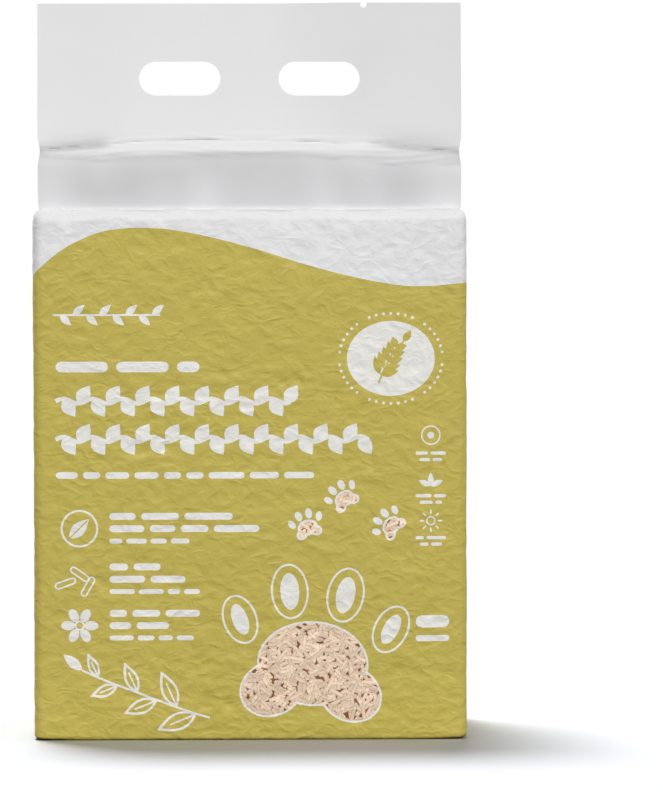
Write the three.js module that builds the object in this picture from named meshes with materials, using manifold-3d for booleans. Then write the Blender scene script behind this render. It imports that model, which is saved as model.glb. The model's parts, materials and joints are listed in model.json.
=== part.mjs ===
// A vacuum-packed brick of cat litter in one film bag, with a carrying header that has two finger slots.
// Millimetres, +Z up. The origin is on the floor under the middle of the brick. The printed front faces -Y.
//
// The bag is one tube of film with a pleat, the gusset, down each side. Air is drawn out of it, so the film
// grips the litter as a hard brick. Its lower end is sealed and folded flat under the base. Its upper end
// closes over the litter as a very low gable, stands up as an empty neck, and is pressed into a flat header.
import * as THREE from "three";
import Module from "manifold-3d";
import { ConvexGeometry } from "three/addons/geometries/ConvexGeometry.js";
import { mergeVertices } from "three/addons/utils/BufferGeometryUtils.js";

// The filled brick
const packWidth = 212;
const packDepth = 110;
const brickHeight = 258;
const verticalEdgeRadius = 5;
const shoulderRadius = 5;
const baseEdgeRadius = 3.5;
const frontSwell = 2; // how far the middle of the front and back stands proud of their edges
const sideSwell = 0.5;
const creaseDepth = 1.3; // the gusset's centre crease, which shows down each side
const creaseHalfWidth = 5;
const cornerLift = 1.8; // the base's four corners stand this far off the floor
const flatBaseWidth = 140;
const baseFoldWidth = 30; // the folded gussets slant this far in from the base's short ends

// The closing above the litter
const roofRise = 4;
const ply = 0.6; // half the thickness of the pressed header: outer film, gusset film and trapped air
const flapInset = 0.5; // the flaps' ends stop this far inside the header's sides
const neckHeight = 26;
const neckFillet = 4;
const neckSwell = 1.2;
const neckSwellChange = 0.3; // the share of that swell that comes and goes along the neck
const neckSwellLength = 107;
const neckLean = 3.2; // the neck leans this far forward at the crease, and the header leans back from there

// The header above the crease
const headerWidth = 210.6;
const headerHeight = 73.5;
const creaseBulge = 1.5;
const creaseSpread = 2.6;
const creaseArch = 2.6; // the crease rides this much higher in the middle than at the ends
const creaseWander = 0.5; // and wanders this far up and down, once in every creaseWanderLength
const creaseWanderLength = 88;
const creasePinch = 1.2; // how far the crease draws the header's sides in
const headerSway = 1.6; // how far the free sheet wanders from flat
const headerSwayStart = 0.6; // radians
const topEdgeWave = 0.5;
const topEdgeWaveLength = 254;

// Holes in the header
const slotLength = 40.4;
const slotHeight = 17;
const slotPitch = 69.3;
const slotDrop = 37.2; // from the header's top edge to the slots' middle
const notchRadius = 1.5;
const notchSink = 0.6; // how far below the top edge the nick's centre lies
const notchOffset = 56.8;

// Seams: a fin of film folded flat, on the base and down the back, with a dent beside each long edge
const seamWidth = 10;
const seamDent = 0.8;
const seamDentWidth = 5;
const seamStep = 0.6;
const seamRise = 0.35; // how far the back seam stands off the pressed header

// How finely the film is faceted
const panelColumns = 22;
const sideColumns = 10;
const cornerFacets = 3;
const wallLevels = 10;
const edgeLevels = 3;
const roofLevels = 4;
const neckLevels = 4;
const creaseLevels = 10;
const headerLevels = 5;
const slotFacets = 12;

const halfWidth = packWidth / 2;
const halfDepth = packDepth / 2;
const headerHalfWidth = headerWidth / 2;
const wallHalfDepth = halfDepth - frontSwell;
const wallHalfWidth = halfWidth - sideSwell;
const gussetHalfWidth = wallHalfDepth - verticalEdgeRadius;
const ridgeHeight = brickHeight + roofRise;
const creaseHeight = ridgeHeight + neckHeight;
const topHeight = creaseHeight + headerHeight;

const lerp = THREE.MathUtils.lerp;
const clamp = THREE.MathUtils.clamp;
const bump = (distance, spread) => Math.exp(-((distance / spread) ** 2));
const wave = (place, length, start = 0) => Math.sin((2 * Math.PI * place) / length + start);

// Where a folded seam's section changes, across the seam, and how deep the film is dented there. The seam's
// own strip lies from 0 to seamWidth.
const besideSeam = [0, seamStep, seamStep + seamDentWidth];
const seamStops = [...besideSeam.map((gap) => -gap).reverse(), ...besideSeam.map((gap) => seamWidth + gap)];
const seamDepths = [0, seamDent, 0, 0, seamDent, 0];

function seamProfile(across) {
  const next = seamStops.findIndex((stop) => across < stop);
  if (next <= 0) return 0;
  const share = (across - seamStops[next - 1]) / (seamStops[next] - seamStops[next - 1]);
  return lerp(seamDepths[next - 1], seamDepths[next], share);
}

// Places across a front or back panel, from -1 to 1 of its flat width, with one at each edge of the seam.
function panelPlaces() {
  const even = Array.from({ length: panelColumns + 1 }, (_, i) => -1 + (2 * i) / panelColumns);
  const seam = seamStops.map((stop) => stop / halfWidth);
  const clear = even.filter((place) => seam.every((edge) => Math.abs(edge - place) > 1 / halfWidth));
  return [...clear, ...seam].sort((a, b) => a - b);
}
const acrossPanel = panelPlaces();

// One closed ring of the film, as points [x, y], counterclockwise seen from above. form gives the half
// sizes, the corner radius, how strongly the faces swell there, from 0 to 1, and how far the gussets' middles
// are tucked in.
function filmRing(form) {
  const { w, d, radius, swell, tuck = 0 } = form;
  const flatX = w - radius;
  const flatY = d - radius;
  const points = [];
  const frontY = (x) => d + frontSwell * swell * (1 - (x / w) ** 2);
  const sideX = (y) => {
    const crease = creaseDepth * Math.max(0, 1 - Math.abs(y) / creaseHalfWidth);
    const bow = sideSwell * (1 - (y / halfDepth) ** 2);
    return w + swell * (bow - crease) - tuck * (1 - (y / gussetHalfWidth) ** 2);
  };
  const corner = (signX, signY, start) => {
    for (let i = 1; i < cornerFacets; i++) {
      const angle = start + ((Math.PI / 2) * i) / cornerFacets;
      points.push([signX * flatX + radius * Math.cos(angle), signY * flatY + radius * Math.sin(angle)]);
    }
  };
  for (const place of acrossPanel) points.push([place * flatX, -frontY(place * flatX)]);
  corner(1, -1, -Math.PI / 2);
  for (let i = 0; i <= sideColumns; i++) {
    const y = flatY * (-1 + (2 * i) / sideColumns);
    points.push([sideX(y), y]);
  }
  corner(1, 1, 0);
  for (const place of [...acrossPanel].reverse()) {
    const x = place * flatX;
    points.push([x, frontY(x) - swell * seamProfile(x)]);
  }
  corner(-1, 1, Math.PI / 2);
  for (let i = 0; i <= sideColumns; i++) {
    const y = flatY * (1 - (2 * i) / sideColumns);
    points.push([-sideX(y), y]);
  }
  corner(-1, -1, Math.PI);
  return points;
}

// The base is flat in the middle, rises to its corners, and carries the folded bottom seam across its width.
function baseHeight(x, y) {
  const beyond = Math.max(0, Math.abs(x) - flatBaseWidth / 2) / (halfWidth - flatBaseWidth / 2);
  return cornerLift * beyond ** 2 + seamProfile(y);
}

// The film from the middle of the base, up the walls and over the litter to the ridge, as a stack of rings.
function brickRings() {
  const rings = [];
  const add = (form, height) => {
    rings.push(filmRing(form).map(([x, y]) => new THREE.Vector3(x, y, height(x, y))));
  };
  const baseWidth = wallHalfWidth - baseEdgeRadius;
  const baseDepth = wallHalfDepth - baseEdgeRadius;
  const innerRadius = verticalEdgeRadius - baseEdgeRadius;

  const baseStops = [...new Set([0, ...seamStops.map(Math.abs)])].sort((a, b) => a - b);
  const farthest = baseStops[baseStops.length - 1];
  for (const d of [...baseStops, (farthest + baseDepth) / 2]) {
    const w = baseWidth - baseFoldWidth * (1 - d / baseDepth);
    add({ w, d, radius: Math.min(innerRadius, d / 2), swell: 0 }, baseHeight);
  }

  for (let i = 0; i < edgeLevels; i++) {
    const angle = ((Math.PI / 2) * i) / edgeLevels;
    const inset = baseEdgeRadius * (1 - Math.sin(angle));
    const rise = baseEdgeRadius * (1 - Math.cos(angle));
    const radius = verticalEdgeRadius - inset;
    const form = { w: wallHalfWidth - inset, d: wallHalfDepth - inset, radius, swell: 0 };
    add(form, (x) => rise + baseHeight(x, halfDepth));
  }

  const wallFoot = baseEdgeRadius;
  const wallTop = brickHeight - shoulderRadius;
  for (let i = 0; i <= wallLevels; i++) {
    const share = i / wallLevels;
    const swell = 1 - (2 * share - 1) ** 4;
    const z = lerp(wallFoot, wallTop, share);
    const form = { w: wallHalfWidth, d: wallHalfDepth, radius: verticalEdgeRadius, swell };
    add(form, (x) => z + (1 - share) ** 4 * baseHeight(x, halfDepth));
  }

  const shoulderDepth = wallHalfDepth - shoulderRadius;
  for (let i = 1; i <= edgeLevels; i++) {
    const angle = ((Math.PI / 2) * i) / edgeLevels;
    const inset = shoulderRadius * (1 - Math.cos(angle));
    const z = wallTop + shoulderRadius * Math.sin(angle);
    const radius = Math.max(ply, verticalEdgeRadius - inset);
    const tuck = i < edgeLevels ? inset : 0;
    add({ w: wallHalfWidth, d: wallHalfDepth - inset, radius, swell: 0, tuck }, () => z);
  }

  for (let i = 1; i <= roofLevels; i++) {
    const share = i / roofLevels;
    const w = lerp(wallHalfWidth, headerHalfWidth - flapInset, share);
    const d = shoulderDepth * (1 - share);
    const z = lerp(brickHeight, ridgeHeight, share);
    add({ w, d, radius: Math.min(ply, d / 2), swell: 0 }, () => z);
  }
  return rings;
}

// Triangles between rings of points. Points that fall together are joined and the empty triangles are left
// out, which closes the first and last ring along the middle line.
function stitched(rings) {
  const positions = [];
  const index = [];
  const places = new Map();
  const id = (point) => {
    const key = [point.x, point.y, point.z].map((value) => Math.round(value * 1e4)).join();
    if (!places.has(key)) {
      places.set(key, positions.length / 3);
      positions.push(point.x, point.y, point.z);
    }
    return places.get(key);
  };
  const add = (a, b, c) => {
    if (a !== b && b !== c && c !== a) index.push(a, b, c);
  };
  for (let k = 0; k + 1 < rings.length; k++) {
    const low = rings[k].map(id);
    const high = rings[k + 1].map(id);
    for (let i = 0; i < low.length; i++) {
      const j = (i + 1) % low.length;
      add(low[i], low[j], high[j]);
      add(low[i], high[j], high[i]);
    }
  }
  const geometry = new THREE.BufferGeometry();
  geometry.setAttribute("position", new THREE.Float32BufferAttribute(positions, 3));
  geometry.setIndex(index);
  return geometry;
}

const creaseLine = (x) =>
  creaseHeight + creaseArch * (1 / 2 - (x / halfWidth) ** 2) + creaseWander * wave(x, creaseWanderLength);
const topEdge = (x) => topHeight + topEdgeWave * wave(x, topEdgeWaveLength);

// Half the thickness of the closed film at a place on the neck or the header.
function closedHalfThickness(x, z) {
  const edgeFade = 1 - (x / halfWidth) ** 6;
  const neckShare = clamp((z - ridgeHeight) / neckHeight, 0, 1);
  const fillet = neckFillet * clamp(1 - (z - ridgeHeight) / neckFillet, 0, 1) ** 2;
  const change = neckSwellChange * (wave(x, neckSwellLength) - 1);
  const belly = neckSwell * Math.sin(Math.PI * neckShare) * (1 + change);
  const crease = creaseBulge * bump(z - creaseLine(x), creaseSpread);
  return ply + (fillet + belly + crease) * edgeFade;
}

// How far the middle of the free sheet stands behind the bag's middle plane.
function sway(x, z) {
  const height = Math.max(0, z - ridgeHeight) / (topHeight - ridgeHeight);
  const neckShare = clamp((z - ridgeHeight) / neckHeight, 0, 1);
  const headerShare = clamp((z - creaseHeight) / headerHeight, 0, 1);
  const wander = headerSway * height ** 2 * wave(x, 2 * packWidth, headerSwayStart);
  return wander - neckLean * neckShare * (1 - headerShare);
}

// The neck and the header as one closed sheet, rooted in the brick below the ridge.
function closedFilm() {
  const root = ridgeHeight - 2 * ply;
  const creaseReach = creaseArch / 2 + creaseWander + creaseSpread;
  const creaseFoot = creaseHeight - creaseReach;
  const creaseHead = creaseHeight + creaseReach;
  const heights = [root];
  for (let i = 0; i < neckLevels; i++) heights.push(lerp(ridgeHeight, creaseFoot, (i / neckLevels) ** 2));
  for (let i = 0; i < creaseLevels; i++) heights.push(lerp(creaseFoot, creaseHead, i / creaseLevels));
  for (let i = 0; i <= headerLevels; i++) heights.push(lerp(creaseHead, topHeight, i / headerLevels));

  const atSeam = (place) => Math.abs(place * halfWidth - seamWidth / 2) < (seamWidth + seamStep) / 2;
  const ring = (z) => {
    const w = headerHalfWidth - creasePinch * bump(z - creaseHeight, 2 * creaseSpread);
    const atTop = (x) => (z === topHeight ? topEdge(x) : z);
    const front = acrossPanel.map((place) => {
      const x = place * w;
      return new THREE.Vector3(x, sway(x, z) - closedHalfThickness(x, z), atTop(x));
    });
    const back = [...acrossPanel].reverse().map((place) => {
      const x = place * w;
      const half = closedHalfThickness(x, z) + (atSeam(place) ? seamRise : 0);
      return new THREE.Vector3(x, sway(x, z) + half, atTop(x));
    });
    return [...front, ...back];
  };
  const middle = (points) => points.map(({ x, z }) => new THREE.Vector3(x, sway(x, z), z));
  const rings = heights.map(ring);
  return stitched([middle(rings[0]), ...rings, middle(rings[rings.length - 1])]);
}

// The space under each upper corner of the film, where the gusset tucks in below the front and back flaps.
function gussetPocket(side) {
  const mouth = wallHalfDepth - shoulderRadius;
  const tip = halfWidth - halfDepth;
  const outside = halfWidth + shoulderRadius;
  const low = brickHeight - ply;
  const high = ridgeHeight - ply;
  const slope = (high - low) / (halfWidth - tip);
  const lowOutside = low - slope * (outside - halfWidth);
  const points = [
    [halfWidth, -mouth, low],
    [halfWidth, mouth, low],
    [outside, -mouth, lowOutside],
    [outside, mouth, lowOutside],
    [outside, 0, high],
    [tip, 0, high],
  ];
  return new ConvexGeometry(points.map(([x, y, z]) => new THREE.Vector3(side * x, y, z)));
}

// A finger slot with round ends, as a cutter that runs through the header.
function fingerSlot(middleX) {
  const radius = slotHeight / 2;
  const straight = slotLength / 2 - radius;
  const outline = new THREE.Shape();
  outline.moveTo(-straight, -radius);
  outline.lineTo(straight, -radius);
  outline.absarc(straight, 0, radius, -Math.PI / 2, Math.PI / 2, false);
  outline.lineTo(-straight, radius);
  outline.absarc(-straight, 0, radius, Math.PI / 2, (3 * Math.PI) / 2, false);
  return headerCutter(outline, middleX, topHeight - slotDrop);
}

// The small round nick in the top edge where the bag is torn open.
function tearNotch() {
  const outline = new THREE.Shape();
  outline.absarc(0, 0, notchRadius, 0, 2 * Math.PI, false);
  return headerCutter(outline, notchOffset, topEdge(notchOffset) - notchSink);
}

function headerCutter(outline, x, z) {
  const reach = headerSway + neckLean + creaseBulge + neckFillet;
  const settings = { depth: 2 * reach, bevelEnabled: false, curveSegments: slotFacets };
  return new THREE.ExtrudeGeometry(outline, settings).rotateX(Math.PI / 2).translate(x, reach, z);
}

const wasm = await Module();
wasm.setup();

function toSolid(geometry) {
  const bare = geometry.clone();
  bare.deleteAttribute("normal");
  bare.deleteAttribute("uv");
  const merged = mergeVertices(bare, 1e-4);
  return new wasm.Manifold(
    new wasm.Mesh({
      numProp: 3,
      vertProperties: new Float32Array(merged.attributes.position.array),
      triVerts: new Uint32Array(merged.index.array),
    }),
  );
}

function toGeometry(solid) {
  const mesh = solid.getMesh();
  const geometry = new THREE.BufferGeometry();
  geometry.setAttribute("position", new THREE.BufferAttribute(new Float32Array(mesh.vertProperties), 3));
  geometry.setIndex(new THREE.BufferAttribute(new Uint32Array(mesh.triVerts), 1));
  geometry.computeVertexNormals();
  return geometry;
}

function litterBag() {
  const pockets = [-1, 1].map(gussetPocket);
  const slots = [-slotPitch / 2, slotPitch / 2].map(fingerSlot);
  let bag = toSolid(stitched(brickRings())).add(toSolid(closedFilm()));
  for (const cutter of [...pockets, ...slots, tearNotch()]) bag = bag.subtract(toSolid(cutter));

  const printedFilm = new THREE.MeshStandardMaterial({ color: 0xc0ad58, roughness: 0.5, metalness: 0 });
  const mesh = new THREE.Mesh(toGeometry(bag), printedFilm);
  mesh.name = "litter_bag";
  return mesh;
}

const pack = new THREE.Group();
pack.add(litterBag());

export default pack;
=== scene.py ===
import json
import math

import bmesh
import bpy
import numpy as np
from mathutils import Matrix, Vector, kdtree
from mathutils.geometry import delaunay_2d_cdt

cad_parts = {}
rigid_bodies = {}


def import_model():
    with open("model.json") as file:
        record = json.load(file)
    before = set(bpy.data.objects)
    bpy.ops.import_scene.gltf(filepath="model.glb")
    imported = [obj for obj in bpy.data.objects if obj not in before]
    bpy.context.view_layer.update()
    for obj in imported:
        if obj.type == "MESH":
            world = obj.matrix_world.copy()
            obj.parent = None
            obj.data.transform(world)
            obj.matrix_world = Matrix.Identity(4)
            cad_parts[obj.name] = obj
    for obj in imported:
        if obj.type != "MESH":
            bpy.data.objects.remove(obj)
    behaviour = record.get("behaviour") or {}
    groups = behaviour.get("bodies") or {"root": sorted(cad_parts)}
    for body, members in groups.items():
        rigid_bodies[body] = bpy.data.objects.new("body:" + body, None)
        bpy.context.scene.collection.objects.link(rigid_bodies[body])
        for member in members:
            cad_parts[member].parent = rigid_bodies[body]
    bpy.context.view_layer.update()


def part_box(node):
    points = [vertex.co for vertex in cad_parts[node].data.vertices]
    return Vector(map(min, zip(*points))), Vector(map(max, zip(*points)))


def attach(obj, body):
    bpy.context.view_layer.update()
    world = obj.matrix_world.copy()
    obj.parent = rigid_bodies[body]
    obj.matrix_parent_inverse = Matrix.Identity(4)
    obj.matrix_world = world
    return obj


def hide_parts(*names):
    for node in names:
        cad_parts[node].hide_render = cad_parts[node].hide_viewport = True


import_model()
MM = 0.001
bag_low, bag_high = (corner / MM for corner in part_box("litter_bag"))
pack_width, pack_depth, pack_height = bag_high - bag_low
print(f"bag {pack_width:.1f} x {pack_depth:.1f} x {pack_height:.1f} mm")

# %% [markdown]
# ## The camera
#
# The photograph looks at the front almost squarely, from a little above the middle, through a long lens.
# The bag stands left of the picture's middle. The camera stays in front of the bag and turns a degree to
# the right, which puts the bag there without showing its side.
# %% Place the camera
photo_size = (663, 792)
camera_distance = 2.0
camera_pitch = math.radians(1.5)
camera_roll = math.radians(0.1)
photo_middle = Vector((0.0395, -pack_depth / 2 * MM, 0.1675))  # the front's point in the picture's middle
scale_on_front = 0.4855 * MM  # metres of the front face in one pixel


def place_camera():
    camera = bpy.data.cameras.new("camera")
    camera.lens = camera_distance * camera.sensor_width / (scale_on_front * max(photo_size))
    holder = bpy.data.objects.new("camera", camera)
    rise = camera_distance * math.tan(camera_pitch)
    holder.location = (0, photo_middle.y - camera_distance, photo_middle.z + rise)
    back = (holder.location - photo_middle).normalized()
    right = Vector((math.sin(camera_roll), 0, math.cos(camera_roll))).cross(back).normalized()
    holder.rotation_euler = Matrix((right, back.cross(right), back)).transposed().to_euler()
    bpy.context.scene.collection.objects.link(holder)
    bpy.context.scene.camera = holder
    return camera.lens


print(f"camera lens {place_camera():.0f} mm")

# %% [markdown]
# ## The floor
#
# The bag stands on a white floor that has no edge in sight. It could be paper curved up behind the bag, as
# in a studio, but a plane that ends far away against a white world looks the same. The floor is white only
# to the eye: one that threw as much light back up would wash out the grain of the film, so it counts as
# grey for every other ray. A mix node picks one of the two colours by the kind of ray. The colour that is
# seen is a touch blue, because the olive film throws a warm light on its own shadow.
# %% Lay the floor
def mix_seen(tree, unseen, seen):
    """One value for rays from the camera, a reflection or a clear film, and another for all the rest."""
    path = tree.nodes.new("ShaderNodeLightPath")
    rays = path.outputs["Is Camera Ray"]
    for kind in ("Is Glossy Ray", "Is Transmission Ray"):
        either = tree.nodes.new("ShaderNodeMath")
        either.operation = "MAXIMUM"
        tree.links.new(rays, either.inputs[0])
        tree.links.new(path.outputs[kind], either.inputs[1])
        rays = either.outputs[0]
    value = tree.nodes.new("ShaderNodeMapRange")
    value.inputs["To Min"].default_value = unseen
    value.inputs["To Max"].default_value = seen
    tree.links.new(rays, value.inputs["Value"])
    return value.outputs["Result"]


def lay_floor(reach=30, bounced=0.12, seen=(0.88, 0.9, 0.95)):
    bpy.ops.mesh.primitive_plane_add(size=2 * reach, location=(0, 0, 0))
    floor = bpy.context.object
    floor.name = "floor"
    paint = bpy.data.materials.new("floor_white")
    paint.use_nodes = True
    tree = paint.node_tree
    shader = tree.nodes["Principled BSDF"]
    colour = tree.nodes.new("ShaderNodeMix")
    colour.data_type = "RGBA"
    colour.inputs["A"].default_value = (bounced,) * 3 + (1,)
    colour.inputs["B"].default_value = (*seen, 1)
    tree.links.new(mix_seen(tree, 0, 1), colour.inputs["Factor"])
    tree.links.new(colour.outputs["Result"], shader.inputs["Base Color"])
    shader.inputs["Roughness"].default_value = 0.9
    shader.inputs["Specular IOR Level"].default_value = 0.0
    floor.data.materials.append(paint)
    floor_parts.objects.link(floor)


bpy.context.scene.view_settings.view_transform = "Standard"
bag_parts, floor_parts = (bpy.data.collections.new(name) for name in ("bag_parts", "floor_parts"))
for parts in (bag_parts, floor_parts):
    bpy.context.scene.collection.children.link(parts)
lay_floor()
print("laid the floor")

# %% [markdown]
# ## The lamps
#
# A lamp high behind the bag lights the floor and throws the shadow forward and a little to the right, and a
# weak one on the right adds the faint shadow on the left. The bag has lamps of its own: one in front, high
# and a little to the left, brings out the grain, a low broad one lights the hollows, and two fill the back
# and the right side. A photographer keeps lamps apart with flags, and here each lamp is linked to the
# collection that it lights. Area lamps could stand round the bag too, but a sun is as bright everywhere, so
# only its direction and its softness matter. The fills leave no sheen, because it would burn out the edges
# of the roof when they are seen from across it.
# %% Hang the lamps
def hang_lamp(name, lit, strength, softness, azimuth, height, sheen=True):
    """A sun that lights only one collection, from azimuth (0 is the front, 90 the right) and this high."""
    lamp = bpy.data.lights.new(name, "SUN")
    lamp.energy = strength
    lamp.angle = math.radians(softness)
    holder = bpy.data.objects.new(name, lamp)
    turn, lift = math.radians(azimuth), math.radians(height)
    towards = Vector((math.sin(turn) * math.cos(lift), -math.cos(turn) * math.cos(lift), math.sin(lift)))
    holder.rotation_euler = towards.to_track_quat("Z", "Y").to_euler()
    holder.light_linking.receiver_collection = lit
    holder.visible_glossy = sheen
    bpy.context.scene.collection.objects.link(holder)


def set_world(fill):
    """Even white light of strength fill from all round, seen as plain white."""
    world = bpy.data.worlds.new("studio")
    bpy.context.scene.world = world
    world.use_nodes = True
    background = world.node_tree.nodes["Background"]
    background.inputs["Color"].default_value = (1, 1, 1, 1)
    world.node_tree.links.new(mix_seen(world.node_tree, fill, 1), background.inputs["Strength"])


hang_lamp("lamp_floor", floor_parts, strength=2.95, softness=21, azimuth=-159, height=69)
hang_lamp("lamp_side", floor_parts, strength=0.4, softness=45, azimuth=100, height=58)
hang_lamp("lamp_front", bag_parts, strength=2.4, softness=12, azimuth=-10, height=42)
hang_lamp("lamp_low", bag_parts, strength=1.32, softness=50, azimuth=35, height=6)
hang_lamp("lamp_back", bag_parts, strength=2.5, softness=40, azimuth=-145, height=28, sheen=False)
hang_lamp("lamp_right", bag_parts, strength=0.9, softness=40, azimuth=115, height=22, sheen=False)
set_world(fill=0.16)
linked = [lamp.name for lamp in bpy.data.objects if lamp.light_linking.receiver_collection]
print(f"{len(linked)} lamps, each linked to what it lights")

# %% [markdown]
# ## Helpers for the materials
#
# No colour and no gloss on a real bag is quite even, so each material takes its unevenness from noise.
# These helpers turn a screen colour into a shader's, set up one noise texture, spread its values over a
# range, do a sum in a node, and read a value that the mesh holds at its points.
# %% Make the helpers
def linear(red, green, blue):
    """A screen colour of 0 to 255 as the linear colour that a shader takes."""
    shares = np.array((red, green, blue)) / 255
    return tuple(np.where(shares <= 0.04045, shares / 12.92, ((shares + 0.055) / 1.055) ** 2.4)) + (1,)


def add_noise(tree, scale, flatten=1):
    """Noise, with its features flattened to lie across the bag."""
    place = tree.nodes.new("ShaderNodeTexCoord")
    mapping = tree.nodes.new("ShaderNodeMapping")
    mapping.inputs["Scale"].default_value = (1, 1, flatten)
    noise = tree.nodes.new("ShaderNodeTexNoise")
    noise.inputs["Scale"].default_value = scale
    noise.inputs["Detail"].default_value = 2
    tree.links.new(place.outputs["Object"], mapping.inputs["Vector"])
    tree.links.new(mapping.outputs["Vector"], noise.inputs["Vector"])
    return noise


def add_map(tree, value, low, high):
    """Spreads a value that mostly lies between 0.3 and 0.7, as a noise's does, from low to high."""
    spread = tree.nodes.new("ShaderNodeMapRange")
    spread.inputs["From Min"].default_value = 0.3
    spread.inputs["From Max"].default_value = 0.7
    spread.inputs["To Min"].default_value = low
    spread.inputs["To Max"].default_value = high
    tree.links.new(value, spread.inputs["Value"])
    return spread.outputs["Result"]


def read_mesh(tree, name):
    """A value that the mesh holds at each of its points."""
    value = tree.nodes.new("ShaderNodeAttribute")
    value.attribute_name = name
    return value.outputs["Fac"]


def math_node(tree, operation, first, second=None):
    node = tree.nodes.new("ShaderNodeMath")
    node.operation = operation
    for slot, value in enumerate((first, second)):
        if isinstance(value, (int, float)):
            node.inputs[slot].default_value = value
        elif value is not None:
            tree.links.new(value, node.inputs[slot])
    return node.outputs[0]


print("mid grey on a screen is", round(linear(128, 128, 128)[0], 3), "of white in light")

# %% [markdown]
# ## The film's skin
#
# The film is white polyethylene, drawn so tight over the pellets that it crinkles. Film and inks share this
# satin skin: a weak sheen, a roughness that drifts, and two sizes of bump. Ridged noise gives the crinkle
# sharp folds, where plain noise would give soft lumps. The mesh says where the film is pressed on litter,
# and there it crinkles most. The grain of the pellets is not in the material, because it is in the mesh.
# %% Make the film's skin
def satin_surface(material, crinkle_depth=0.2, roughness=0.5):
    """Gives a material the film's skin, with a crinkle this many millimetres deep, and returns its shader."""
    material.use_nodes = True
    tree = material.node_tree
    shader = tree.nodes["Principled BSDF"]
    shader.inputs["Specular IOR Level"].default_value = 0.22
    drift = add_noise(tree, scale=45)
    uneven = add_map(tree, drift.outputs["Fac"], roughness - 0.05, roughness + 0.07)
    tree.links.new(uneven, shader.inputs["Roughness"])
    crinkle = tree.nodes.new("ShaderNodeBump")
    tree.links.new(read_mesh(tree, "pressed"), crinkle.inputs["Strength"])
    crinkle.inputs["Distance"].default_value = crinkle_depth * MM
    folds = add_noise(tree, scale=130, flatten=1.4)
    folds.noise_type = "RIDGED_MULTIFRACTAL"
    folds.inputs["Offset"].default_value = 1
    folds.inputs["Gain"].default_value = 1.5
    folds.inputs["Distortion"].default_value = 0.35
    tree.links.new(folds.outputs["Fac"], crinkle.inputs["Height"])
    skin = tree.nodes.new("ShaderNodeBump")
    skin.inputs["Strength"].default_value = 0.12
    skin.inputs["Distance"].default_value = 0.05 * MM
    tree.links.new(add_noise(tree, scale=2600).outputs["Fac"], skin.inputs["Height"])
    tree.links.new(crinkle.outputs["Normal"], skin.inputs["Normal"])
    tree.links.new(skin.outputs["Normal"], shader.inputs["Normal"])
    return shader


print("the skin takes its crinkle from the mesh")

# %% [markdown]
# ## The inks
#
# A few flat inks print the film, and bare film counts as one of them. One picture wrapped round the bag
# could carry them all, but with a material for each, their edges stay sharp close up. Each is a single
# colour that drifts by a hundredth. It is multiplied by the tone that the mesh holds, which is painted
# light and shade: painted shade on the neck, the crease, the header's right and the roof, and painted
# light at the foot. Bare film crinkles less than inked film, which is stiffer.
# %% Mix the inks
def mix_ink(name, colour, crinkle_depth=0.2, drift=0.01):
    material = bpy.data.materials.new(name)
    shader = satin_surface(material, crinkle_depth)
    tree = material.node_tree
    tone = tree.nodes.new("ShaderNodeHueSaturation")
    tone.inputs["Color"].default_value = linear(*colour)
    drifting = add_map(tree, add_noise(tree, scale=28).outputs["Fac"], 1 - drift, 1 + drift)
    # the ink's lightness is multiplied by the mesh's tone, which holds painted light and shade
    tree.links.new(math_node(tree, "MULTIPLY", drifting, read_mesh(tree, "tone")), tone.inputs["Value"])
    tree.links.new(tone.outputs["Color"], shader.inputs["Base Color"])
    return material


inks = {
    "film_white": mix_ink("film_white", (224, 224, 225), crinkle_depth=0.15),
    "ink_olive": mix_ink("ink_olive", (189, 173, 84)),
    "ink_white": mix_ink("ink_white", (229, 228, 223)),
}
print("mixed", ", ".join(inks))

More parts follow.
